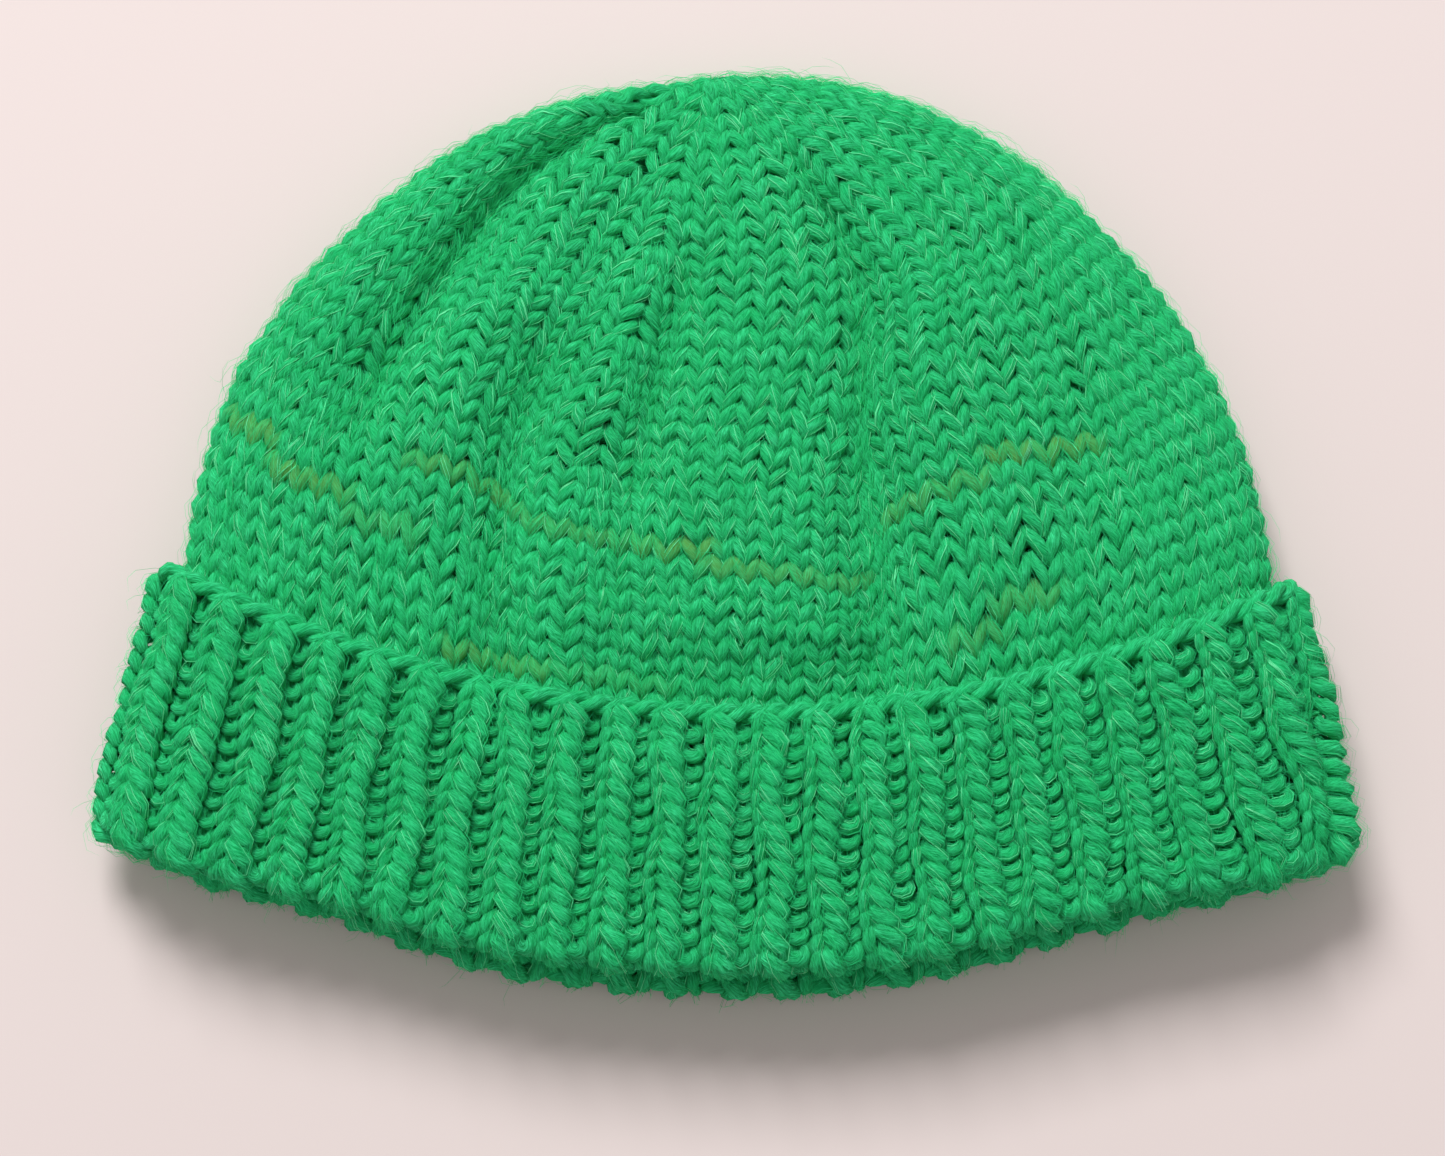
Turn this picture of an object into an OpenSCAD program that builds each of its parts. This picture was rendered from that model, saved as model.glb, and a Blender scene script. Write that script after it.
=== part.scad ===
// Knit beanie with a turned-up rib cuff, lying flat on its back.
// Millimetres. +Z is up from the surface it lies on, +Y points to the crown, -Y is the head opening.
// The origin is at the middle of the footprint, on the surface.
//
// The whole hat is one knitted tube. A place in it is given by three numbers:
//   t    how far up the front it is, from the fold of the cuff (0) to the closure (front_l)
//   turn how far round the tube it is, in turns: 0 at the right side, 0.25 front, 0.5 left, 0.75 back
//   d    how deep it is below the outer face of the body; the turned-up cuff lies at negative depths
// Each piece is a flat section in (t, d) carried round the tube, or a grid of such places.

/* [Body] */
// Half width of the rounded body, just above the cuff
dome_a = 104; // [90:1:120]
// Height of the rounded outline above its widest line
dome_b = 103.4; // [85:0.1:120]
// Length of the front, from the fold of the cuff to the closure of the crown
front_l = 172.5; // [150:0.5:200]
// Thickness of one layer of the knitted fabric
fabric_t = 4.2; // [3:0.1:5]
// Height of the front face of the body above the surface, at the cuff
front_z = 21; // [19:0.5:26]
// Height of the closure's front face above the surface
closure_z = 8; // [7:0.5:12]
// Half width of the rounded side of the body
side_round = 22; // [14:1:30]

/* [Cuff] */
// Height of the turned-up cuff, along the front
cuff_h = 50; // [35:1:60]
// How far each side of the tube flares out from the cuff's top edge down to its fold
flare = 13; // [4:0.1:18]
// How much further the back of the fold reaches than the front
back_drop = 3.4; // [0:0.1:6]
// Air between the turned-up cuff and the band behind it
layer_gap = 0.3; // [0.3:0.1:1]
// Length of the rolled cast-on edge, along the cuff
edge_l = 3.4; // [2:0.1:6]
// How far the cast-on edge stands proud of the cuff
edge_proud = 0.7; // [0.2:0.1:1.5]

/* [Crown] */
// Number of wedges between the lines of decreases
wedges = 8; // [8:8]
// Place on the front where the wedges start
crown_t = 92; // [80:1:110]
// Place on the front where the wedges end and the closure starts
closure_t = 157; // [145:1:162]
// Depth of the dip in the outline at the closure
closure_dip = 2; // [0:0.5:4]
// How far the closure sits to the left of the middle
closure_shift = 2.5; // [0:0.5:5]

/* [Creases] */
// Depth of the crease beside the roll at the upper left
roll_crease = 3.5; // [0:0.5:5]
// Depth of the long crease right of the middle
right_crease = 1.5; // [0:0.5:4]
// Depth of the soft crease left of the middle
left_crease = 1; // [0:0.5:4]
// Width of a crease, as a part of the half width
crease_w = 0.07; // [0.05:0.01:0.12]

/* [Hidden] */
yarn_green = [0.08, 0.66, 0.34];
rib_green = [0.06, 0.58, 0.30];
edge_green = [0.16, 0.74, 0.42];

per_wedge = 10;                      // steps round one wedge
round_n = wedges * per_wedge;        // steps round the tube
outline_y = -12.7;                   // widest line of the rounded outline
outline_top_a = 1.8;                 // angle on the outline where the cuff's top edge meets it
fold_front_y = -85.5;                // front of the fold, on the middle line
fold_side_y = -60;                   // side of the fold
cuff_depth = fabric_t + layer_gap;   // the turned-up cuff's outer face lies this far outside the body's
fold_mid_d = -layer_gap / 2;         // depth of the middle of the fold
fold_r = fabric_t + layer_gap / 2;   // outer radius of the fold
body_start_t = cuff_h - 8;           // the stockinette starts out of sight, just inside the cuff
rest_t = cuff_h + 24;                // the back of the body touches the surface from here up
side_tilt = 0.016;                   // the left end of the fold is a little nearer the crown
lean_most = 0.4;                     // how far the middle wedges lean to the right, in half widths
lean_l = 45;                         // height over which they come to lean
swell = 0.8;                         // height of the soft swelling beside a crease
// Creases and swellings: [height, place q, first t, last t, length of the easing]
creases = [
    [-roll_crease, -0.75, 104, 150, 18],
    [1.5, -0.87, 108, 150, 18],
    [-right_crease, 0.26, 66, 132, 20],
    [swell, 0.40, 62, 120, 20],
    [-left_crease, -0.40, 62, 100, 20],
    [swell, -0.27, 58, 120, 20],
    [-1.5, 0.72, 84, 124, 18]
];
// Rings of the closure, as parts of the way from its lower edge to the tip
closure_rings = [0, 0.26, 0.52, 0.74, 0.9];
closure_inside = 5;                  // the closure's inner point is this far above its lower edge

function clamp(x) = max(0, min(1, x));
function ease(x) = clamp(x) * clamp(x) * (3 - 2 * clamp(x));
function sum(v) = v * [for (each_one = v) 1];
// A bump of height 1 at the middle m, w wide
function bump(x, m, w) = exp(-pow((x - m) / w, 2));
// 1 between a and b, easing in and out over the length e
function span(x, a, b, e) = ease((x - a + e) / e) * ease((b + e - x) / e);

// Part of the way from the cuff's top edge to the closure
function rise(t) = clamp((t - cuff_h) / (front_l - cuff_h));
function outline_a(t) = outline_top_a + (90 - outline_top_a) * rise(t);
// Half width of the tube, and where its sides and its middle line are
function half_w(t) = dome_a * cos(outline_a(t)) + flare * clamp(1 - t / cuff_h);
function side_y(t) =
    t < cuff_h
    ? fold_side_y + (outline_y + dome_b * sin(outline_top_a) - fold_side_y) * t / cuff_h
    : outline_y + dome_b * sin(outline_a(t)) - closure_dip * pow(rise(t), 10);
function middle_y(t, back) =
    fold_front_y + (side_y(front_l) - fold_front_y) * t / front_l
    - back * back_drop * (1 - ease(t / (cuff_h * 1.6)));
function middle_x(t) = -closure_shift * pow(rise(t), 4);
// Heights of the front face and of the back face
function top_z(t) = front_z - (front_z - closure_z) * pow(rise(t), 2.6);
function bottom_z(t) = cuff_depth * (1 - ease((t - cuff_h + 4) / (rest_t - cuff_h)));

// The flattened tube: how far out and how high a place is, with q from -1 at the left to 1 at the right
function end_r(t) = min(side_round, 0.5 * half_w(t));
function half_h(t) = (top_z(t) - bottom_z(t)) / 2;
function quarter_ellipse(a, b) = 45 * PI / 180 * (3 * (a + b) - sqrt((3 * a + b) * (a + 3 * b)));
function flat_part(t) = half_w(t) - end_r(t);
function side_len(t) = quarter_ellipse(end_r(t), half_h(t));
function out_x(t, q, d) =
    let (a = abs(q) * (flat_part(t) + side_len(t)), f = flat_part(t))
    sign(q) * (a < f ? a : f + (end_r(t) - d) * sin(90 * (a - f) / side_len(t)));
function out_z(t, q, d) =
    let (a = abs(q) * (flat_part(t) + side_len(t)), f = flat_part(t))
    (half_h(t) - d) * (a < f ? 1 : cos(90 * (a - f) / side_len(t)));

// The creases of the front, which follow the lines of decreases
function relief(t, q) =
    sum([for (c = creases) c[0] * bump(q, c[1], crease_w) * span(t, c[2], c[3], c[4])]);

// The middle wedges of the front sit a little to the right near the closure
function lean(t, s) =
    s + lean_most * ease((t - crown_t) / lean_l) * (1 - s * s) * pow((1 + s) / 2, 2);

// A place in the hat, from t, turn and d
function place(t, turn, d) =
    let (
        back = turn > 0.5 ? 1 : 0,
        q = back == 1 ? 4 * turn - 3 : 1 - 4 * turn,
        s = lean(t, out_x(t, q, d) / half_w(t)),
        sag = side_y(t) - middle_y(t, back),
        arc = 2 * atan(sag / half_w(t)),
        x = middle_x(t) + half_w(t) * sin(arc * s) / sin(arc),
        h = out_z(t, q, d),
        mid = (top_z(t) + bottom_z(t)) / 2
    )
    [
        x,
        middle_y(t, back) + sag * (1 - cos(arc * s)) / (1 - cos(arc)) - side_tilt * x * (1 - rise(t)),
        max(0, mid + (back == 1 ? -h : h + relief(t, q) * (1 - pow(abs(s), 6))))
    ];

// A closed section of [t, d] pairs, carried all the way round the tube
module ring_piece(section) {
    m = len(section);
    polyhedron(
        points = [for (i = [0 : round_n - 1]) for (p = section) place(p[0], i / round_n, p[1])],
        faces = [for (i = [0 : round_n - 1]) for (j = [0 : m - 1])
            let (a = i * m + j, b = i * m + (j + 1) % m,
                 c = ((i + 1) % round_n) * m + (j + 1) % m, e = ((i + 1) % round_n) * m + j)
            each [[a, b, c], [a, c, e]]],
        convexity = 8
    );
}

// A layer of fabric: its outer face from bottom to top, then its inner face back down
function layer(t0, t1, d0, d1, n) = concat(
    [for (i = [0 : n]) [t0 + (t1 - t0) * i / n, d0]],
    [for (i = [n : -1 : 0]) [t0 + (t1 - t0) * i / n, d1]]
);

module cast_on_edge() {
    lo = cuff_h - edge_l;
    color(edge_green) ring_piece([
        [lo, -cuff_depth],
        [lo + 0.3 * edge_l, -cuff_depth - edge_proud],
        [lo + 0.7 * edge_l, -cuff_depth - edge_proud],
        [cuff_h, -cuff_depth + 0.3 * fabric_t],
        [cuff_h, -cuff_depth + 0.7 * fabric_t],
        [lo, -layer_gap]
    ]);
}

module turned_up_cuff() {
    color(rib_green)
        ring_piece(layer(fold_r, cuff_h - edge_l, -cuff_depth, -layer_gap, 5));
}

module cuff_fold() {
    steps = 6;
    color(rib_green) ring_piece(concat(
        [for (i = [0 : steps]) let (a = 180 * i / steps)
            [fold_r - fold_r * sin(a), fold_mid_d + fold_r * cos(a)]],
        [for (i = [steps / 2 : -1 : 0]) let (a = 360 * i / steps)
            [fold_r - layer_gap / 2 * sin(a), fold_mid_d + layer_gap / 2 * cos(a)]]
    ));
}

module inner_rib_band() {
    color(rib_green) ring_piece(layer(fold_r, body_start_t, 0, fabric_t, 4));
}

module stockinette_body() {
    color(yarn_green) ring_piece(layer(body_start_t, crown_t, 0, fabric_t, 8));
}

// One wedge of the crown, between two lines of decreases
module crown_wedge(number) {
    rows = 9;
    first = (number - 1) * per_wedge + per_wedge / 2;
    w = per_wedge + 1;
    function at(r, c, d) =
        place(crown_t + (closure_t - crown_t) * r / rows, (first + c) % round_n / round_n, d);
    function id(face, r, c) = face * (rows + 1) * w + r * w + c;
    function quad(a, b, c, d) = [[a, b, c], [a, c, d]];
    color(yarn_green) polyhedron(
        points = [for (d = [0, fabric_t]) for (r = [0 : rows]) for (c = [0 : per_wedge]) at(r, c, d)],
        faces = concat(
            [for (r = [0 : rows - 1]) for (c = [0 : per_wedge - 1])
                each quad(id(0, r, c), id(0, r + 1, c), id(0, r + 1, c + 1), id(0, r, c + 1))],
            [for (r = [0 : rows - 1]) for (c = [0 : per_wedge - 1])
                each quad(id(1, r, c), id(1, r, c + 1), id(1, r + 1, c + 1), id(1, r + 1, c))],
            [for (c = [0 : per_wedge - 1])
                each quad(id(1, 0, c), id(0, 0, c), id(0, 0, c + 1), id(1, 0, c + 1))],
            [for (c = [0 : per_wedge - 1])
                each quad(id(0, rows, c), id(1, rows, c), id(1, rows, c + 1), id(0, rows, c + 1))],
            [for (r = [0 : rows - 1])
                each quad(id(0, r, 0), id(1, r, 0), id(1, r + 1, 0), id(0, r + 1, 0))],
            [for (r = [0 : rows - 1])
                each quad(id(0, r, per_wedge), id(0, r + 1, per_wedge),
                          id(1, r + 1, per_wedge), id(1, r, per_wedge))]
        ),
        convexity = 6
    );
}

module crown_closure() {
    rings = [for (part = closure_rings) closure_t + (front_l - closure_t) * part];
    n = round_n;
    k = len(rings);
    tip = [middle_x(front_l), side_y(front_l), (top_z(front_l) + bottom_z(front_l)) / 2];
    inside = [middle_x(closure_t), middle_y(closure_t, 0) + closure_inside,
              (top_z(closure_t) + bottom_z(closure_t)) / 2];
    color(yarn_green) polyhedron(
        points = concat(
            [for (t = rings) for (i = [0 : n - 1]) place(t, i / n, 0)],
            [for (i = [0 : n - 1]) place(closure_t, i / n, fabric_t)],
            [tip, inside]
        ),
        faces = concat(
            [for (r = [0 : k - 2]) for (i = [0 : n - 1])
                let (a = r * n + i, b = r * n + (i + 1) % n, c = b + n, e = a + n)
                each [[a, e, c], [a, c, b]]],
            [for (i = [0 : n - 1]) [(k - 1) * n + i, (k + 1) * n, (k - 1) * n + (i + 1) % n]],
            [for (i = [0 : n - 1]) let (a = k * n + i, b = k * n + (i + 1) % n)
                each [[i, b, a], [i, (i + 1) % n, b]]],
            [for (i = [0 : n - 1]) [k * n + i, k * n + (i + 1) % n, (k + 1) * n + 1]]
        ),
        convexity = 6
    );
}

cast_on_edge();
turned_up_cuff();
cuff_fold();
inner_rib_band();
stockinette_body();
crown_wedge(1);  // crown_wedge_1
crown_wedge(2);  // crown_wedge_2
crown_wedge(3);  // crown_wedge_3
crown_wedge(4);  // crown_wedge_4
crown_wedge(5);  // crown_wedge_5
crown_wedge(6);  // crown_wedge_6
crown_wedge(7);  // crown_wedge_7
crown_wedge(8);  // crown_wedge_8
crown_closure();
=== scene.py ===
import math

import bpy
import numpy as np
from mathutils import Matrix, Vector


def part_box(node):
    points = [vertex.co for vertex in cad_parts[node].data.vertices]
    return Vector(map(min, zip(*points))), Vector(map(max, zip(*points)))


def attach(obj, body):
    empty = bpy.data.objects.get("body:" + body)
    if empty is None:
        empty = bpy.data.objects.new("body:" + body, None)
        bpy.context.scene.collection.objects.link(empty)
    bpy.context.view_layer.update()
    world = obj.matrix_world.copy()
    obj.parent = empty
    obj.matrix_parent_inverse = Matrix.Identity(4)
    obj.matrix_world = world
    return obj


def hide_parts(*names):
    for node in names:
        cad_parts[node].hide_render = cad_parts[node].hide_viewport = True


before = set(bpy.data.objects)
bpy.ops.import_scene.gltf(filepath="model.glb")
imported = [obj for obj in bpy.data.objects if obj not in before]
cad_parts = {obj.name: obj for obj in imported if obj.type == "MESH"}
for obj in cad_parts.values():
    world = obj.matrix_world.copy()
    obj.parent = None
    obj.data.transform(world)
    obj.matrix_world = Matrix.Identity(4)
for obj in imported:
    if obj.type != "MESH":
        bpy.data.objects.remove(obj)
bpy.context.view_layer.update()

MM = 0.001
ROUND = 96                 # stitches round the tube
WEDGES = 8                 # wedges of the crown
PER_WEDGE = ROUND // WEDGES
ROW = 3.3                  # height of a row of rib
PLAIN_ROW = 3.6            # and of a plain row
YARN_R = 1.20              # radius of the yarn
FOLD_FLATTER = 0.50        # stitches of the fold are flatter and fuller, for an average one of 1
FOLD_FULLER = 1.24
RIB_WIDE = 1.26            # width of a rib's stitch on the cuff's outside, for an average one of 1
RIGHT_NARROWER = 0.18      # and how much narrower it is at the right, where the fabric is pulled wider
LEFT_WIDER = 0.13          # and wider at the left, where it is let go

# ---------------------------------------------------------------- sizes taken from the frame, in millimetres


def node_box(name):
    low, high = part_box(name)
    return np.array(low) / MM, np.array(high) / MM


FOLD_FRONT = node_box("cuff_fold")[0][1]
BODY_RIGHT, _, BODY_TOP = node_box("stockinette_body")[1]
CLOSURE_FAR = node_box("crown_closure")[1][1]

LAYER = 4.2                                        # thickness of one layer of fabric
GAP = 0.3                                          # air between the cuff and the band
CUFF_H = 50.0                                      # height of the cuff along the front
BACK_DROP = 3.4                                    # the back of the fold reaches this much further
FLARE = 13.0                                       # flare of the cuff
FRONT_L = 172.5                                    # front, from fold to closure
OUTLINE_Y = -12.7                                  # widest line of the outline
OUTLINE_TOP_A = math.radians(1.8)                  # where the cuff's top edge meets the outline
DOME_A = BODY_RIGHT - 2.0                          # half width of the rounded outline
DOME_B = CLOSURE_FAR - OUTLINE_Y + 1.5             # and its height
FRONT_Z = BODY_TOP - 0.7                           # height of the front face at the cuff
CLOSURE_Z = 8.0                                    # height of the front face at the closure
SIDE_R = 22.0                                      # rounding of the sides
FOLD_Y = FOLD_FRONT + BACK_DROP                    # front of the fold, on the middle line
FOLD_SIDE_Y = FOLD_Y + 23.2                        # and at its sides
CLOSURE_SHIFT = 2.5                                # the closure is this far left of the middle line
SIDE_TILT = 0.016                                  # slope of the whole cuff, from left to right
NARROWER = 0.995                                   # room for the stitches that stand out at the sides
FURTHER_RIGHT = 0.75
REST_Z = 2.0                                       # the fabric's middle surface lies this high
NARROW_T = 122.0                                   # where along the front the crown draws in a little
NARROW_REACH = 24.0
NARROW_SHARE = 0.022
CROWN_T = 92.0                                     # where the crown starts, along the front
CLOSURE_T = 157.0                                  # and where its closure starts

CUFF_DEPTH = LAYER + GAP
CAST_ON_T = 48.8                                   # place of the cast-on edge on the front
FOLD_R = LAYER / 2                                 # radius of the fold's middle surface
FOLD_D = 0.35                                      # depth and place of the fold's centre
FOLD_T = LAYER + 1.0
V_FOLD = CAST_ON_T - FOLD_T                        # knitting height where the fold starts
V_BAND = V_FOLD + math.pi * FOLD_R                 # and where the band behind the cuff starts
V_END = V_BAND + FRONT_L - FOLD_T                  # and where the closure is

# ---------------------------------------------------------------- the surface


def clamp(x):
    return np.clip(x, 0.0, 1.0)


def ease(x):
    x = clamp(x)
    return x * x * (3 - 2 * x)


def bump(x, middle, width):
    return np.exp(-((x - middle) / width) ** 2)


def span(t, a, b, e):
    return ease((t - a + e) / e) * ease((b + e - t) / e)


def rise(t):
    return clamp((t - CUFF_H) / (FRONT_L - CUFF_H))


def outline_angle(t):
    return OUTLINE_TOP_A + (math.pi / 2 - OUTLINE_TOP_A) * rise(t)


def half_width(t):
    narrow = 1 - NARROW_SHARE * bump(t, NARROW_T, NARROW_REACH)
    return DOME_A * np.cos(outline_angle(t)) * narrow + FLARE * clamp(1 - t / CUFF_H)


def side_y(t):
    top = OUTLINE_Y + DOME_B * math.sin(OUTLINE_TOP_A)
    below = FOLD_SIDE_Y + (top - FOLD_SIDE_Y) * t / CUFF_H
    above = OUTLINE_Y + DOME_B * np.sin(outline_angle(t))
    return np.where(t < CUFF_H, below, above)


def middle_y(t, back):
    closure_y = float(side_y(np.array(FRONT_L)))
    front = FOLD_Y + (closure_y - FOLD_Y) * t / FRONT_L
    return front - back * BACK_DROP * (1 - ease(t / (CUFF_H * 1.6)))


def top_z(t):
    return FRONT_Z - (FRONT_Z - CLOSURE_Z) * rise(t) ** 2.6


def bottom_z(t):
    return CUFF_DEPTH * (1 - ease((t - CUFF_H + 4) / 24))


def end_r(t):
    return np.minimum(SIDE_R, 0.5 * half_width(t))


def quarter_ellipse(a, b):
    return math.pi / 4 * (3 * (a + b) - np.sqrt((3 * a + b) * (a + 3 * b)))


def tube_section(t, q, d):
    """How far out and how far off the middle a place is; q runs from -1 at the left to 1 at the right."""
    half_h = (top_z(t) - bottom_z(t)) / 2
    flat = half_width(t) - end_r(t)
    side = quarter_ellipse(end_r(t), half_h)
    a = np.abs(q) * (flat + side)
    bend = np.clip(math.pi / 2 * (a - flat) / side, 0, math.pi / 2)
    out = np.sign(q) * np.where(a < flat, a, flat + (end_r(t) - d) * np.sin(bend))
    return out, (half_h - d) * np.where(a < flat, 1.0, np.cos(bend))


# creases and pillows of the front: height, place across and its width, first and last t, and their soft ends
CREASES = [
    (-8.0, -0.695, 0.070, 96, 160, 24),
    (2.6, -0.86, 0.070, 104, 160, 22),
    (1.8, -0.52, 0.090, 85, 140, 25),
    (-6.2, 0.265, 0.065, 62, 136, 26),
    (2.4, 0.39, 0.065, 56, 120, 20),
    (-4.4, -0.40, 0.060, 52, 100, 20),
    (2.2, -0.28, 0.060, 56, 124, 20),
    (-3.4, -0.17, 0.055, 94, 128, 16),
    (1.2, 0.03, 0.100, 66, 150, 20),
    (-3.0, 0.70, 0.085, 84, 132, 20),
    (1.2, 0.52, 0.090, 70, 130, 20),
    (-2.4, 0.05, 0.35, 47, 56, 9),
]


def relief(t, q):
    """Creases and pillows of the front, along the lines of decreases."""
    return sum(
        height * bump(q, middle, width) * span(t, first, last, soft)
        for height, middle, width, first, last, soft in CREASES
    )


def lean(t, s):
    """The share across, from -1 to 1, after the crown's stitches are pushed towards the right."""
    return s + 0.4 * ease((t - CROWN_T) / 45) * (1 - s * s) * ((1 + s) / 2) ** 2


GROOVE_DEPTH = 6.5         # depth of the line on the cuff's right side
GROOVE_AT = 0.895          # its place across, at the fold
GROOVE_SLOPE = 0.0013      # how much further right it is for each millimetre of t
GROOVE_WIDTH = 0.020


def side_groove(t, q):
    """The line on the cuff's right side where the front layer ends and the back layer goes on below it."""
    return -GROOVE_DEPTH * bump(q, GROOVE_AT + GROOVE_SLOPE * t, GROOVE_WIDTH) * ease(1.1 - t / 45)


PULL_LEFT = 6.0            # how far the rounds are pulled at the left, right and middle creases
PULL_RIGHT = 7.0
PULL_MIDDLE = -3.5


def course_shift(t, q):
    """How far the rounds of the front are pulled up or down where the fabric folds into its creases."""
    left = PULL_LEFT * bump(q, -0.50, 0.17) * ease((-0.30 - q) / 0.12)
    right = PULL_RIGHT * bump(q, 0.42, 0.20) * ease((q - 0.22) / 0.10)
    middle = PULL_MIDDLE * ease((q - 0.02) / 0.2) * ease((0.30 - q) / 0.08)
    return (left + right + middle) * span(t, 76, 104, 24)


FOLD_RISE_RIGHT = 4.0      # how much further up the fold lies than an even arc, at the right and the left
FOLD_RISE_LEFT = 2.4
CROWN_ASIDE = 1.1          # how much further left the upper crown is


def fold_rise(t, s):
    """How far the fold lies above an even arc, for a share s across."""
    rise_there = FOLD_RISE_RIGHT * bump(s, 0.60, 0.25) + FOLD_RISE_LEFT * bump(s, -0.62, 0.14)
    return rise_there * ease(1 - t / 40)


def place(t, turn, d):
    """Points of the tube in millimetres, for arrays of t, turn and depth d."""
    t, turn, d = np.broadcast_arrays(np.asarray(t, float), turn, d)
    back = (turn > 0.5).astype(float)
    q = np.where(back == 1, 4 * turn - 3, 1 - 4 * turn)
    out, up = tube_section(t, q, d)
    half = np.maximum(half_width(t), 0.5)
    s = lean(t, out / half)
    sag = side_y(t) - middle_y(t, back)
    arc = np.maximum(2 * np.arctan(sag / half), 0.02)
    x = -CLOSURE_SHIFT * rise(t) ** 4 + half * np.sin(arc * s) / np.sin(arc)
    y = middle_y(t, back) + sag * (1 - np.cos(arc * s)) / (1 - np.cos(arc))
    y = y - SIDE_TILT * x * (1 - rise(t)) + (1 - back) * course_shift(t, q)
    y = y + fold_rise(t, s)
    x = x - CROWN_ASIDE * bump(t, 138, 16)
    mid = (top_z(t) + bottom_z(t)) / 2
    front = up + relief(t, q) * (1 - np.abs(s) ** 6) + side_groove(t, q)
    z = np.maximum(mid + np.where(back == 1, -up, front), REST_Z)
    return np.stack([x * NARROWER + FURTHER_RIGHT, y, z], -1)


def fabric_line(v):
    """The place (t, d) on the section of the tube at knitting height v."""
    a = np.clip((v - V_FOLD) / FOLD_R, 0, math.pi)
    fold = FOLD_T - FOLD_R * np.sin(a)
    band = FOLD_T + v - V_BAND
    t = np.where(v < V_FOLD, CAST_ON_T - v, np.where(v > V_BAND, band, fold))
    d = FOLD_D - FOLD_R * np.cos(a)
    return t, d


def unit(vectors):
    """Vectors of length 1 the same way as the given ones, along the last axis."""
    return vectors / np.maximum(np.linalg.norm(vectors, axis=-1, keepdims=True), 1e-9)


def path_length(points):
    """Length along a path, from its first point to each one."""
    return np.append(0, np.cumsum(np.linalg.norm(np.diff(points, axis=0), axis=1)))


GRID_STEP = 1.0            # distance of the grid's lines along v, in millimetres
GRID_TURNS = 1920          # and how many lines it has round the tube


def make_grid():
    """Middle surface of the fabric and its normals, with stitches spread evenly inside each wedge."""
    vs = np.arange(0, V_END - 0.8, GRID_STEP)
    t, d = fabric_line(vs)
    turn = np.arange(GRID_TURNS) / GRID_TURNS
    raw = place(t[:, None], turn[None, :], d[:, None])
    half_wedge = 0.5 / WEDGES
    before = turn < half_wedge
    long_turn = np.append(turn, 1.0)
    marks = np.arange(WEDGES + 1) / WEDGES + half_wedge
    even = np.empty_like(raw)
    for i in range(len(vs)):
        ring = np.vstack([raw[i], raw[i, :1]])
        length = path_length(ring)
        total = length[-1]
        mark_length = np.interp(marks % 1.0, long_turn, length) + total * np.floor(marks)
        want = np.interp(turn, marks, mark_length)
        want[before] = np.interp(turn[before] + 1.0, marks, mark_length) - total
        want = np.mod(want, total)
        for k in range(3):
            even[i, :, k] = np.interp(want, length, ring[:, k])
    across = np.roll(even, -4, axis=1) - np.roll(even, 4, axis=1)
    along = np.gradient(even, axis=0)
    return vs, even, unit(np.cross(along, across))


GRID_V, GRID_P, GRID_N = make_grid()


def at(v, u):
    """Point and normal of the fabric's middle surface, for arrays of v and u."""
    fv = np.clip(v / GRID_STEP, 0, len(GRID_V) - 1.001)
    fu = np.mod(u, 1.0) * GRID_TURNS
    i = fv.astype(int)
    j = fu.astype(int) % GRID_TURNS
    a = (fv - i)[..., None]
    b = (fu - np.floor(fu))[..., None]
    j2 = (j + 1) % GRID_TURNS

    def mix(g):
        here = g[i, j] * (1 - a) + g[i + 1, j] * a
        there = g[i, j2] * (1 - a) + g[i + 1, j2] * a
        return here * (1 - b) + there * b

    return mix(GRID_P), mix(GRID_N)


# ---------------------------------------------------------------- the rounds of stitches
FIRST_V = 2.2                                            # height of the first row
RIB_END = int((V_BAND + CUFF_H - 8 - FOLD_T) / ROW)      # the first plain row


def row_v(c):
    return FIRST_V + ROW * np.asarray(c, float) + (PLAIN_ROW - ROW) * np.maximum(c - RIB_END, 0)


def row_at(v):
    """The first row that is higher than v."""
    c = (v - FIRST_V) / ROW
    if c > RIB_END:
        c = RIB_END + (c - RIB_END) * ROW / PLAIN_ROW
    return math.ceil(c)


ROWS = row_at(V_END)
CROWN_START = row_at(V_BAND + CROWN_T - FOLD_T)          # the first row with decreases
CLOSURE_START = row_at(V_BAND + CLOSURE_T - FOLD_T)
FOLD_ROW = row_at(V_FOLD)                                # first row of the fold
BAND_ROW = row_at(V_BAND)                                # first row of the band behind the cuff
FOLD_MIDDLE = ((V_FOLD + V_BAND) / 2 - FIRST_V) / ROW    # row at the fold's edge
FOLD_REACH = 2.4                                         # rows from the edge that are flatter and fuller
FOLD_EASE = 1.6
LAST_STITCHES = 2.2                                      # stitches left in each wedge at the closure


def wedge_stitches(c):
    """Stitches in each wedge on row c; it needn't be whole."""
    t = FOLD_T + row_v(c) - V_BAND
    share = half_width(np.maximum(t, CUFF_H)) / DOME_A
    return np.maximum(PER_WEDGE * np.minimum(share * 1.03, 1.0) ** 0.72, LAST_STITCHES)


def stitch_edges(c, column, row):
    """The two edges of a column's stitch of round c at a fractional row, in turns.

    Columns run parallel to the middle of their wedge. The wedge's sides cut them off one by one, and the
    outermost stitch left fills up what remains.
    """
    wedge, j = column // PER_WEDGE, column % PER_WEDGE
    n = wedge_stitches(row)
    half = PER_WEDGE / 2
    low = np.clip((j - half) / n, -0.5, 0.5)
    high = np.clip((j + 1 - half) / n, -0.5, 0.5)
    first = int(round(half - 0.5 - FARTHEST[c]))
    low = np.where(j == first, -0.5, low)
    high = np.where(j == PER_WEDGE - 1 - first, 0.5, high)
    return (wedge + 1 + low) / WEDGES, (wedge + 1 + high) / WEDGES


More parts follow.
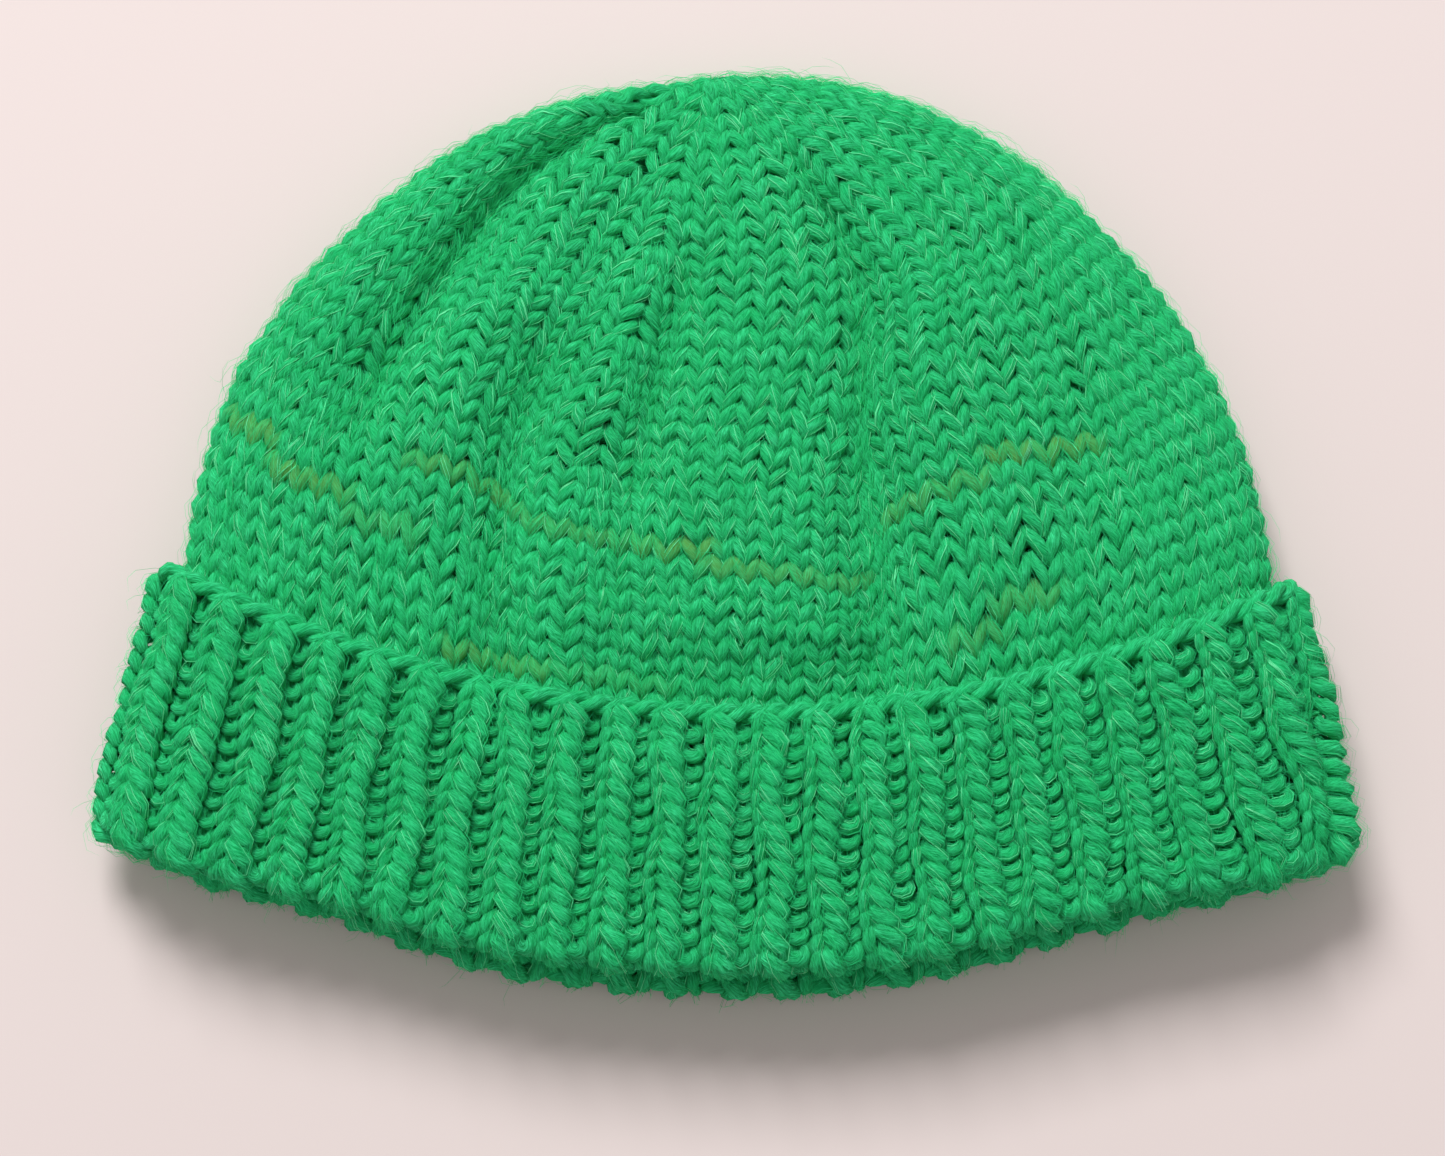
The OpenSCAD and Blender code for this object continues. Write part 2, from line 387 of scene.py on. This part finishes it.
# the farthest column from the wedge's middle that still has a stitch, on each row
REACH = wedge_stitches(np.arange(ROWS)) / 2 + 0.10
FARTHEST = np.floor(REACH - 0.5) + 0.5
COLUMN_ALIVE = np.abs(np.arange(ROUND) % PER_WEDGE - (PER_WEDGE - 1) / 2) <= FARTHEST[:, None]

# small differences from stitch to stitch
rng = np.random.default_rng(7)
STITCH_LIFT = rng.normal(0, 0.20, (ROWS, ROUND))
STITCH_FAT = rng.normal(1.0, 0.055, (ROWS, ROUND))
STITCH_TALL = rng.normal(1.0, 0.04, (ROWS, ROUND))

# slow waves that pull hand-knitted stitches off their straight columns and rounds
WAVES = 14
WAVE_ROUND = rng.integers(7, 34, WAVES)                  # waves round the tube
WAVE_TALL = rng.uniform(14.0, 44.0, WAVES) * rng.choice([-1, 1], WAVES)
WAVE_PHASE = rng.uniform(0, 2 * math.pi, (2, WAVES))
WAVE_SIZE = 0.14                                         # height of each wave, in millimetres
TUBE_ROUND = 430.0                                       # length round the tube


def waver(v, u):
    """A place of the fabric after the slow waves."""
    phase = 2 * math.pi * (u[:, None] * WAVE_ROUND + v[:, None] / WAVE_TALL)
    across = WAVE_SIZE * np.sin(phase + WAVE_PHASE[0]).sum(1)
    along = WAVE_SIZE * np.sin(phase + WAVE_PHASE[1]).sum(1)
    calm = ease(v / 9) * ease((V_END - 12 - v) / 14)
    return v + 0.5 * along * calm, u + across * calm / TUBE_ROUND


def stockinette_loop(theta):
    """One plain stitch: share of its width, share of its row, and depth, for theta from -pi to pi."""
    x = (theta + 2.1 * np.sin(2 * theta)) / (2 * math.pi) * (1 - 0.065 * (1 + np.cos(theta)))
    y = 0.90 * np.cos(theta)
    z = -1.25 * np.cos(2 * theta) - 0.20 * np.cos(theta)
    fat = 0.84 * (1.0 - 0.32 * np.cos(2 * theta) + 0.05 * np.cos(theta))
    return x, y, z, fat


def rib_loop(theta, purl, left):
    """One stitch of one-by-one rib; left runs from -1 at the hat's right side to 1 at its left.

    Plain stitches stand forward as two legs, and purl stitches lie back between them as a row of beads.
    The yarn's twist makes one leg of each stitch thin and steep, and the other plump and slanting. At the
    left the fabric is closer: the legs are more alike, and the beads lie deeper.
    """
    close = np.maximum(left, 0)
    wide = RIB_WIDE - RIGHT_NARROWER * np.maximum(-left, 0) ** 4 + LEFT_WIDER * close ** 2
    plump = 0.5 + 0.5 * np.tanh(3 * np.where(purl, -1.0, 1.0) * np.sin(theta))
    slant = np.where(purl, 0.95 + 0.45 * close + (1.20 - 0.45 * close) * plump, 1.6)
    x = (theta + slant * np.sin(2 * theta)) / (2 * math.pi) * np.where(purl, wide, 2 - wide)
    y = 0.90 * np.cos(theta)
    legs = 0.30 - (1 - np.cos(2 * theta)) * (1.12 + 0.45 * plump) - 0.55 * np.cos(theta)
    beads = 0.15 + 0.45 * close - 0.83 * np.cos(theta) - 0.34 * np.cos(2 * theta)
    leg_fat = 1.0 - (0.22 + 0.28 * plump) * np.cos(2 * theta)
    leg_fat = leg_fat * (0.74 + 0.12 * close + (0.18 - 0.08 * close) * plump)
    bead_fat = 0.80 * (1 + 0.22 * np.cos(theta) + 0.10 * np.cos(2 * theta))
    return x, y, np.where(purl, legs, beads), np.where(purl, leg_fat, bead_fat)


def row_path(c, columns, samples, rib):
    """Centre line, normal, radius and marks of the yarn through some neighbouring columns of row c."""
    theta1 = (np.arange(samples) / samples * 2 - 1) * math.pi
    column = np.repeat(columns, samples)
    theta = np.tile(theta1, len(columns))
    if rib:
        purl = column % 2 == 0
        left = -np.cos(2 * math.pi * (column / ROUND + 0.5 / WEDGES))
        x, y, z, fat = rib_loop(theta, purl, left)
        near_fold = ease((FOLD_REACH - np.abs(c + y - FOLD_MIDDLE)) / FOLD_EASE)
        z = z * (1 + (FOLD_FLATTER - 1) * near_fold)
        fat = fat * (1 + (FOLD_FULLER - 1) * near_fold)
    else:
        x, y, z, fat = stockinette_loop(theta)
    y = y * STITCH_TALL[c, column % ROUND]
    row = c + y
    low, high = stitch_edges(c, column % ROUND, row)
    u = (low + high) / 2 + x * (high - low)
    v = row_v(row)
    p, n = at(*waver(v, u))
    lift = STITCH_LIFT[c, column % ROUND] * (0.5 + 0.5 * np.sin(theta) ** 2)
    p = p + n * (z + lift)[:, None]
    radius = YARN_R * fat * STITCH_FAT[c, column % ROUND]
    return p, n, radius, z, u


def sweep(p, n, radius, sides, closed):
    """Rings of points round a path."""
    if closed:
        tangent = np.roll(p, -1, axis=0) - np.roll(p, 1, axis=0)
    else:
        tangent = np.gradient(p, axis=0)
    tangent = unit(tangent)
    up = unit(n - tangent * np.sum(n * tangent, axis=1, keepdims=True))
    side = np.cross(tangent, up)
    angle = np.arange(sides) / sides * 2 * math.pi
    ring = up[:, None, :] * np.cos(angle)[None, :, None] + side[:, None, :] * np.sin(angle)[None, :, None]
    return p[:, None, :] + ring * radius[:, None, None]


PRESSED_DEPTH = 1.0 * MM   # height under which the yarn is pressed flat
FLOOR_GAP = 0.03 * MM


def pressed(points):
    """Flatten, softly, what lies against the surface the hat rests on."""
    z = points[:, 2]
    low = PRESSED_DEPTH * np.exp(np.minimum(z / PRESSED_DEPTH - 1, 0))
    points = points.copy()
    points[:, 2] = np.where(z < PRESSED_DEPTH, low, z) + FLOOR_GAP
    return points


def mesh_from(name, points, quads):
    mesh = bpy.data.meshes.new(name)
    mesh.vertices.add(len(points))
    mesh.vertices.foreach_set("co", pressed(points).astype(np.float32).ravel())
    mesh.loops.add(len(quads) * 4)
    mesh.loops.foreach_set("vertex_index", quads.astype(np.int32).ravel())
    mesh.polygons.add(len(quads))
    mesh.polygons.foreach_set("loop_start", (np.arange(len(quads)) * 4).astype(np.int32))
    mesh.polygons.foreach_set("use_smooth", np.ones(len(quads), bool))
    mesh.update()
    return mesh


def finish_piece(name, mesh, material, replaced):
    mesh.materials.append(material)
    piece = bpy.data.objects.new(name, mesh)
    bpy.context.scene.collection.objects.link(piece)
    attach(piece, "root")
    for node in replaced:
        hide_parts(node)


RING_SHAPE = 13.0          # length round a yarn, for a length along it of 1 from ring to ring
STRIP_EDGE = 0.04          # free edge of each strip of the chart, as a share of its height
CHART_LAYER = "OFBake"     # name of the layer of coordinates laid out for a bake of the mesh


def tube_faces(first, rings, sides, closed):
    """Faces of a tube whose rings of points start at a given number, in the order of its rings."""
    i = np.arange(rings if closed else rings - 1)[:, None]
    j = np.arange(sides)[None, :]
    i2 = (i + 1) % rings
    j2 = (j + 1) % sides
    corners = [i * sides + j, i * sides + j2, i2 * sides + j2, i2 * sides + j]
    return first + np.stack(corners, -1).reshape(-1, 4)


class Tubes:
    """Gathers tubes of yarn into the arrays of one mesh."""

    def __init__(self, sides):
        self.sides = sides
        self.points = []
        self.faces = []
        self.along = []
        self.around = []
        self.tint = []
        self.count = 0

    def add(self, rings, closed, along, tint):
        """Add one tube: its rings of points, and the length along it and the tint at each ring."""
        count = len(rings)
        self.points.append(rings.reshape(-1, 3))
        self.faces.append(tube_faces(self.count, count, self.sides, closed))
        gaps = count if closed else count - 1
        step = np.diff(np.append(along, along[-1] + along[1] - along[0]))[:gaps]
        start = np.repeat(along[:gaps], self.sides)
        stop = start + np.repeat(step, self.sides)
        self.along.append(np.stack([start, start, stop, stop], -1))
        low = np.tile(np.arange(self.sides) / self.sides, gaps)
        high = low + 1.0 / self.sides
        self.around.append(np.stack([low, high, high, low], -1))
        self.tint.append(np.repeat(tint, self.sides))
        self.count += count * self.sides

    def chart(self):
        """The yarn cut into strips that lie side by side in a square, without overlap."""
        length = math.ceil(math.sqrt(RING_SHAPE * sum(len(a) for a in self.along) / self.sides))
        strips, parts = 0, []
        for along, around in zip(self.along, self.around):
            ring = np.arange(len(along)) // self.sides
            strip = strips + ring // length
            x = (ring % length)[:, None] + np.array([0, 0, 1, 1])
            y = strip[:, None] + STRIP_EDGE + (1 - 2 * STRIP_EDGE) * around
            parts.append(np.stack([x / length, y], -1))
            strips = strip[-1] + 1
        chart = np.concatenate(parts)
        chart[..., 1] /= strips
        return chart

    def piece(self, name, material, slot, replaced):
        mesh = mesh_from(name, np.concatenate(self.points) * MM, np.concatenate(self.faces))
        uv = mesh.uv_layers.new(name="Yarn")
        lanes = np.stack([np.concatenate(self.along).ravel(), np.concatenate(self.around).ravel()], -1)
        uv.data.foreach_set("uv", lanes.astype(np.float32).ravel())
        layout = mesh.uv_layers.new(name=CHART_LAYER)
        layout.data.foreach_set("uv", self.chart().astype(np.float32).ravel())
        tint = mesh.attributes.new("tint", "FLOAT", "POINT")
        tint.data.foreach_set("value", np.concatenate(self.tint).astype(np.float32))
        finish_piece(name, mesh, material, replaced)


# ---------------------------------------------------------------- colour runs of the yarn
# olive stretches of the yarn: row above the cuff's top edge, first and last place across, and strength
RUN_REACH = 0.02
RUN_FADE = 0.03
CUFF_TOP_ROW = row_at(V_BAND + CUFF_H - FOLD_T)
OLIVE_RUNS = [
    (7, -0.96, -0.84, 0.9), (6, -0.84, -0.68, 0.8), (5, -0.68, -0.56, 0.35), (8, -0.60, -0.42, 0.7),
    (8, -0.42, -0.16, 0.5), (8, -0.16, -0.04, 0.9), (7, -0.05, 0.08, 0.7), (7, 0.08, 0.24, 0.5),
    (8, 0.31, 0.50, 0.6), (9, 0.50, 0.70, 0.9), (1, -0.50, -0.30, 0.7), (1, -0.30, -0.10, 0.25),
    (2, 0.40, 0.48, 0.5), (3, 0.47, 0.58, 0.6),
]


def tint_at(c, u):
    q = 1 - 4 * np.mod(u, 1.0)
    tint = np.zeros_like(q)
    for row, a, b, strength in OLIVE_RUNS:
        if c == CUFF_TOP_ROW + row:
            inside = ease((q - a + RUN_REACH) / RUN_FADE) * ease((b + RUN_REACH - q) / RUN_FADE)
            tint = np.maximum(tint, strength * inside)
    return tint


# ---------------------------------------------------------------- materials


MIX_SHARE, MIX_FIRST, MIX_SECOND, MIX_RESULT = 0, 6, 7, 2     # sockets of a Mix node for colours


def add_node(mat, kind, **values):
    node = mat.node_tree.nodes.new(kind)
    for name, value in values.items():
        setattr(node, name, value)
    return node


def connect(mat, source, socket):
    mat.node_tree.links.new(source, socket)


def set_inputs(node, **values):
    for name, value in values.items():
        node.inputs[name.replace("_", " ")].default_value = value


def calculate(mat, operation, *values):
    node = add_node(mat, "ShaderNodeMath", operation=operation)
    for socket, value in zip(node.inputs, values):
        if isinstance(value, (int, float)):
            socket.default_value = value
        else:
            connect(mat, value, socket)
    return node.outputs[0]


def noise(mat, where, scale, detail, roughness=0.5):
    node = add_node(mat, "ShaderNodeTexNoise")
    set_inputs(node, Scale=scale, Detail=detail, Roughness=roughness)
    connect(mat, where, node.inputs["Vector"])
    return node.outputs["Fac"]


def stretch(mat, value, from_range, to_range=(0.0, 1.0)):
    node = add_node(mat, "ShaderNodeMapRange")
    node.inputs["From Min"].default_value, node.inputs["From Max"].default_value = from_range
    node.inputs["To Min"].default_value, node.inputs["To Max"].default_value = to_range
    connect(mat, value, node.inputs["Value"])
    return node.outputs["Result"]


def blend(mat, share, first, second):
    """A mix of two colours, each a socket or a colour."""
    node = add_node(mat, "ShaderNodeMix", data_type="RGBA")
    connect(mat, share, node.inputs[MIX_SHARE])
    for socket, colour in ((MIX_FIRST, first), (MIX_SECOND, second)):
        if isinstance(colour, tuple):
            node.inputs[socket].default_value = colour
        else:
            connect(mat, colour, node.inputs[socket])
    return node.outputs[MIX_RESULT]


FIBRE_TWIST = 0.35          # turns of the fibres round the yarn, in radians for each millimetre along it
FIBRE_LONG = 0.22           # scale of their pattern along the yarn
FIBRE_ROUND = 2.2           # and round it


def fibre_pattern(mat):
    """Streaks that run along the yarn and wind round it: x along, then the place round it as a circle."""
    uv = add_node(mat, "ShaderNodeUVMap", uv_map="Yarn")
    split = add_node(mat, "ShaderNodeSeparateXYZ")
    connect(mat, uv.outputs["UV"], split.inputs[0])
    along, around = split.outputs[0], split.outputs[1]
    angle = calculate(mat, "MULTIPLY", around, 2 * math.pi)
    angle = calculate(mat, "ADD", angle, calculate(mat, "MULTIPLY", along, FIBRE_TWIST))
    where = add_node(mat, "ShaderNodeCombineXYZ")
    connect(mat, calculate(mat, "MULTIPLY", along, FIBRE_LONG), where.inputs[0])
    connect(mat, calculate(mat, "MULTIPLY", calculate(mat, "SINE", angle), FIBRE_ROUND), where.inputs[1])
    connect(mat, calculate(mat, "MULTIPLY", calculate(mat, "COSINE", angle), FIBRE_ROUND), where.inputs[2])
    return noise(mat, where.outputs[0], 2.7, 5.0, 0.68)


def yarn_material(name, base, light, dark, olive):
    mat = bpy.data.materials.new(name)
    mat.use_nodes = True
    bsdf = mat.node_tree.nodes["Principled BSDF"]
    set_inputs(bsdf, Roughness=0.80, Specular_IOR_Level=0.11)
    set_inputs(bsdf, Sheen_Weight=0.045, Sheen_Roughness=0.5, Sheen_Tint=(0.30, 1.0, 0.50, 1.0))
    fibre = fibre_pattern(mat)
    streaks = blend(mat, stretch(mat, fibre, (0.38, 0.64)), dark, light)
    place_in_object = add_node(mat, "ShaderNodeTexCoord").outputs["Object"]
    blotch = stretch(mat, noise(mat, place_in_object, 260.0, 3.0), (0.25, 0.75), (0.35, 0.9))
    green = blend(mat, blotch, base, streaks)
    run = add_node(mat, "ShaderNodeAttribute", attribute_name="tint").outputs["Fac"]
    colour = blend(mat, calculate(mat, "MULTIPLY", run, blotch), green, olive)
    connect(mat, colour, bsdf.inputs["Base Color"])
    bump_node = add_node(mat, "ShaderNodeBump")
    set_inputs(bump_node, Strength=0.8, Distance=0.0009)
    connect(mat, fibre, bump_node.inputs["Height"])
    connect(mat, bump_node.outputs["Normal"], bsdf.inputs["Normal"])
    return mat


GREEN = (0.001, 0.545, 0.145, 1.0)
GREEN_LIGHT = (0.075, 0.970, 0.430, 1.0)
GREEN_DARK = (0.0002, 0.200, 0.040, 1.0)
OLIVE = (0.135, 0.370, 0.060, 1.0)
body_yarn = yarn_material("body_wool", GREEN, GREEN_LIGHT, GREEN_DARK, OLIVE)
rib_yarn = yarn_material("rib_wool", GREEN, GREEN_LIGHT, GREEN_DARK, OLIVE)
edge_yarn = yarn_material("edge_wool", GREEN, GREEN_LIGHT, GREEN_DARK, OLIVE)


# ---------------------------------------------------------------- the knitted pieces

YARN_LINES = {"rib": [], "plain": []}
# columns of a yarn line: its point, the way out, the yarn's radius, the line's number, and its height
LINE_POINT = slice(0, 3)
LINE_OUT = slice(3, 6)
LINE_OUT_Z = 5
LINE_RADIUS = slice(6, 7)
LINE_NUMBER = 7
LINE_HEIGHT = 8


def keep_line(p, out, radius, height, rib):
    """Remember a round of yarn that fibres can stand on."""
    lines = YARN_LINES["rib" if rib else "plain"]
    lines.append(np.column_stack([p, out, radius, np.full(len(p), len(lines)), height]))


def next_living(c, column):
    """The next column of round c that still has a stitch."""
    column = (column + 1) % ROUND
    while not COLUMN_ALIVE[c, column]:
        column = (column + 1) % ROUND
    return column


ROUND_YARN = 37.0           # shift of the fibres' pattern from one round to the next, in millimetres


def knit(tubes, rows, columns, samples, rib, fuzz=1.0):
    """Add rounds of yarn to some tubes. Fuzz is 1 or -1 for the side that fibres stand on, or 0."""
    columns = np.asarray(columns)
    whole = len(columns) == ROUND
    for c in rows:
        here = columns[COLUMN_ALIVE[c, columns]]
        path = row_path(c, here, samples, rib)
        if not whole:
            # one more point, so that the yarn runs on into the next piece
            beyond = row_path(c, np.array([next_living(c, here[-1])]), samples, rib)
            path = [np.concatenate([a, b[:1]]) for a, b in zip(path, beyond)]
        p, n, radius, z, u = path
        rings = sweep(p, n, radius, tubes.sides, whole)
        tubes.add(rings, whole, path_length(p) + ROUND_YARN * c, tint_at(c, u))
        if fuzz:
            keep_line(p, n * fuzz, radius, z * fuzz, rib)


# columns are counted from half a wedge past the right side, so the front's first ones are the round's last
FRONT = (np.arange(ROUND // 2) - PER_WEDGE // 2) % ROUND
BACK = (FRONT + ROUND // 2) % ROUND

# sides of the yarn, and points along it for each stitch
CUFF_YARN = 9, 16
FOLD_YARN = 8, 16
BAND_YARN = 6, 12
BODY_YARN = 8, 16
CROWN_YARN = 9, 16


def make_knitting():
    sides, samples = CUFF_YARN
    for side, columns in (("front", FRONT), ("back", BACK)):
        cuff = Tubes(sides)
        knit(cuff, range(0, FOLD_ROW), columns, samples, True, fuzz=-1.0)
        cuff.piece("rib_cuff_" + side, rib_yarn, "rib_yarn", ["turned_up_cuff"])
    sides, samples = FOLD_YARN
    fold = Tubes(sides)
    knit(fold, range(FOLD_ROW, BAND_ROW), np.arange(ROUND), samples, True, fuzz=-1.0)
    fold.piece("rib_fold", rib_yarn, "rib_yarn", ["cuff_fold"])
    sides, samples = BAND_YARN
    band = Tubes(sides)
    knit(band, range(BAND_ROW, RIB_END), np.arange(ROUND), samples, True, fuzz=0.0)
    band.piece("rib_band", rib_yarn, "rib_yarn", ["inner_rib_band"])
    sides, samples = BODY_YARN
    for side, columns in (("front", FRONT), ("back", BACK)):
        body = Tubes(sides)
        knit(body, range(RIB_END, CROWN_START), columns, samples, False)
        body.piece("plain_body_" + side, body_yarn, "body_yarn", ["stockinette_body"])
    sides, samples = CROWN_YARN
    for w in range(WEDGES):
        wedge = Tubes(sides)
        columns = np.arange(w * PER_WEDGE, (w + 1) * PER_WEDGE)
        knit(wedge, range(CROWN_START, CLOSURE_START), columns, samples, False)
        wedge.piece("plain_wedge_%d" % (w + 1), body_yarn, "body_yarn", ["crown_wedge_%d" % (w + 1)])
    closure = Tubes(sides)
    knit(closure, range(CLOSURE_START, ROWS), np.arange(ROUND), samples, False)
    closure.piece("drawn_closure", body_yarn, "body_yarn", ["crown_closure"])


EDGE_SAMPLES = 14          # points of a strand for each stitch
EDGE_STRANDS = 2
EDGE_SIDES = 9
EDGE_RADIUS = 1.24
EDGE_AT = 0.1              # middle of the rope, below the edge, and how far it swings up and down
EDGE_SWING = 0.85
EDGE_OUT = 1.0             # middle of the rope, out of the fabric, and how far it swings in and out
EDGE_TURN = 0.80


def make_edge():
    """The cast-on edge: two strands twisted together round the top of the cuff."""
    rope = Tubes(EDGE_SIDES)
    k = np.arange(ROUND * EDGE_SAMPLES)
    u = k / len(k)
    upper, _ = at(np.zeros(len(k)), u)
    lower, _ = at(np.ones(len(k)), u)
    for strand in range(EDGE_STRANDS):
        phase = 2 * math.pi * (k / EDGE_SAMPLES + strand) / EDGE_STRANDS
        v = EDGE_AT - EDGE_SWING * np.cos(phase)
        p, n = at(np.maximum(v, 0), u)
        out = EDGE_OUT + EDGE_TURN * np.sin(phase)
        p = p + (upper - lower) * np.maximum(-v, 0)[:, None] - n * out[:, None]
        radius = EDGE_RADIUS * (1 + 0.06 * np.sin(phase * 3.1 + strand))
        rope.add(sweep(p, n, radius, EDGE_SIDES, True), True, path_length(p), np.zeros(len(p)))
    rope.piece("chained_edge", edge_yarn, "edge_yarn", ["cast_on_edge"])


SPARE = 8                  # places drawn for each fibre, as many of them have no room for it
LEAST_HEIGHT = 0.5         # a fibre stands only where the yarn is this far out of the fabric
FRONT_FROM = -0.05         # least way up of the yarn's outside on the front
LEAST_Z = 0.15
WIDEST_START = 1.3         # how far round its yarn a fibre may start, in radians
MEAN_WIND = 0.5            # how far it winds on round the yarn, and how much that differs
WIND_SPREAD = 0.5
CLEARANCE = 1.01           # radius of its path, for a yarn's radius of 1
ARCH = 2.6                 # how much of an arch its lift is, in radians
ASIDE = 0.7                # how much of its straying is in any direction, for 1 outwards
TAPER = 0.85
FIBRE_SIDES = 3


def fibre_places(lines, front, count, steps):
    """Stretches of yarn that each take one fibre."""
    yarn = np.concatenate(lines)
    first = rng.integers(0, len(yarn) - steps - 1, count * SPARE)
    whole = yarn[first, LINE_NUMBER] == yarn[first + steps, LINE_NUMBER]
    raised = yarn[first + steps // 2, LINE_HEIGHT] > LEAST_HEIGHT
    facing = (yarn[first, LINE_OUT_Z] > FRONT_FROM) == front
    first = first[whole & raised & facing][:count]
    return yarn[first[:, None] + np.arange(steps + 1)]


def fibre_paths(picked, lift, stray):
    """Paths of the fibres, and the way out of the fabric along them.

    Each follows its yarn, wound a little round it and lifted off it in the middle, and may stray from it
    at its end.
    """
    count, samples = picked.shape[:2]
    p, out, size = picked[..., LINE_POINT], picked[..., LINE_OUT], picked[..., LINE_RADIUS]
    along = unit(np.gradient(p, axis=1))
    out = unit(out - along * np.sum(out * along, axis=2, keepdims=True))
    across = np.cross(along, out)
    s = np.linspace(0, 1, samples)[None, :, None]
    start = rng.uniform(-WIDEST_START, WIDEST_START, count)[:, None, None]
    wind = start + rng.normal(MEAN_WIND, WIND_SPREAD, count)[:, None, None] * s
    way = out * np.cos(wind) + across * np.sin(wind)
    high = rng.uniform(*lift, count)[:, None, None]
    path = p + way * (size * CLEARANCE + high * np.sin(s * ARCH))
    tail = rng.uniform(0, stray, count)[:, None, None] * s ** 2
    turn = rng.normal(0, 1, (count, 1, 3))
    path = path + tail * (out + ASIDE * turn)
    path[:, :, 2] = np.maximum(path[:, :, 2], LEAST_Z)
    return path, out


def strands(lines, front, count, steps, radius, lift, stray):
    """Points and faces of loose fibres on some yarn lines."""
    path, out = fibre_paths(fibre_places(lines, front, count, steps), lift, stray)
    tangent = unit(np.gradient(path, axis=1))
    right = unit(np.cross(tangent, out))[:, :, None, :]
    down = np.cross(tangent, right[:, :, 0])[:, :, None, :]
    angle = np.arange(FIBRE_SIDES)[:, None] / FIBRE_SIDES * 2 * math.pi
    s = np.linspace(0, 1, steps + 1)
    taper = radius * (1 - TAPER * np.abs(2 * s - 1) ** 3)
    ring = right * np.cos(angle) + down * np.sin(angle)
    rings = path[:, :, None, :] + ring * taper[None, :, None, None]
    base = np.arange(len(path))[:, None, None] * (steps + 1) * FIBRE_SIDES
    quads = base + tube_faces(0, steps + 1, FIBRE_SIDES, False)
    return rings.reshape(-1, 3) * MM, quads.reshape(-1, 4)


def plain_material(name, colour, roughness, specular):
    mat = bpy.data.materials.new(name)
    mat.use_nodes = True
    bsdf = mat.node_tree.nodes["Principled BSDF"]
    bsdf.inputs["Base Color"].default_value = colour
    bsdf.inputs["Roughness"].default_value = roughness
    bsdf.inputs["Specular IOR Level"].default_value = specular
    return mat


# loose fibres of each kind of knitting: material slot, CAD node, and numbers of fine and of glossy ones on
# each side; the glossy ones carry painted highlights; the fine ones are shared among pieces of their own,
# which keeps each mesh small
FIBRES = [
    ("plain", "front", "body_yarn", "stockinette_body", 15600, 3, 2600),
    ("plain", "back", "body_yarn", "stockinette_body", 7000, 2, 1600),
    ("rib", "front", "rib_yarn", "turned_up_cuff", 11400, 3, 1500),
    ("rib", "back", "rib_yarn", "turned_up_cuff", 4600, 2, 900),
]


def make_fibres():
    fine = plain_material("fine_fibre", (0.026, 0.690, 0.240, 1.0), 0.8, 0.2)
    # the glossy fibres have a real low roughness, and a colour lighter than the yarn's that is a painted
    # highlight
    gloss_and_highlight = plain_material("glossy_highlight_fibre", (0.130, 0.840, 0.390, 1.0), 0.35, 0.5)
    for kind, side, slot, node, fine_count, parts, gloss_and_highlight_count in FIBRES:
        lines = YARN_LINES[kind]
        front = side == "front"
        for part in range(parts):
            fibres = strands(lines, front, fine_count // parts, 6, 0.036, (0.1, 0.8), 2.2)
            name = "fuzz_%s_%s_%d" % (kind, side, part + 1)
            finish_piece(name, mesh_from(name, *fibres), fine, [node])
        fibres = strands(lines, front, gloss_and_highlight_count, 7, 0.070, (0.0, 0.20), 0.6)
        name = "gloss_%s_%s" % (kind, side)
        finish_piece(name, mesh_from(name, *fibres), gloss_and_highlight, [node])


# ---------------------------------------------------------------- floor, light and camera


def make_floor():
    mesh = bpy.data.meshes.new("floor")
    half = 3.0
    corners = [(-half, -half, 0), (half, -half, 0), (half, half, 0), (-half, half, 0)]
    mesh.from_pydata(corners, [], [(0, 1, 2, 3)])
    floor = bpy.data.objects.new("floor", mesh)
    bpy.context.scene.collection.objects.link(floor)
    mesh.materials.append(plain_material("pale_floor", (0.680, 0.604, 0.596, 1.0), 0.95, 0.1))


WINDOW_AT = (-0.53, 1.56, 1.69)
WINDOW_SIZE = 0.94
WINDOW_POWER = 62.0
ROOM_STRENGTH = 0.50


def make_light():
    """One soft window light from behind the crown, and a pale room."""
    data = bpy.data.lights.new("window", "AREA")
    data.shape = "SQUARE"
    data.size = WINDOW_SIZE
    data.energy = WINDOW_POWER
    data.color = (1.0, 0.985, 0.97)
    lamp = bpy.data.objects.new("window", data)
    x, y, z = WINDOW_AT
    lamp.location = WINDOW_AT
    lamp.rotation_euler = (math.acos(z / math.hypot(x, y, z)), 0.0, math.atan2(-y, -x) - math.pi / 2)
    bpy.context.scene.collection.objects.link(lamp)
    world = bpy.data.worlds.new("studio")
    world.use_nodes = True
    background = world.node_tree.nodes["Background"]
    background.inputs["Color"].default_value = (1.0, 0.945, 0.925, 1.0)
    background.inputs["Strength"].default_value = ROOM_STRENGTH
    bpy.context.scene.world = world


CAMERA_AWAY = 0.680                 # distance of the camera from what it looks at
VIEW_WIDE = 0.2746                  # width of what it sees there
CAMERA_TILT = math.radians(8.0)
LOOKS_AT = (-0.0003, -0.0089, 0.012)


def make_camera():
    data = bpy.data.cameras.new("camera")
    data.sensor_width = 36.0
    data.lens = data.sensor_width * CAMERA_AWAY / VIEW_WIDE
    camera = bpy.data.objects.new("camera", data)
    x, y, z = LOOKS_AT
    camera.location = (x, y - CAMERA_AWAY * math.sin(CAMERA_TILT), z + CAMERA_AWAY * math.cos(CAMERA_TILT))
    camera.rotation_euler = (CAMERA_TILT, 0.0, 0.0)
    bpy.context.scene.collection.objects.link(camera)
    bpy.context.scene.camera = camera
    bpy.context.scene.view_settings.view_transform = "Standard"


make_camera()
make_light()
make_floor()
make_knitting()
make_edge()
make_fibres()
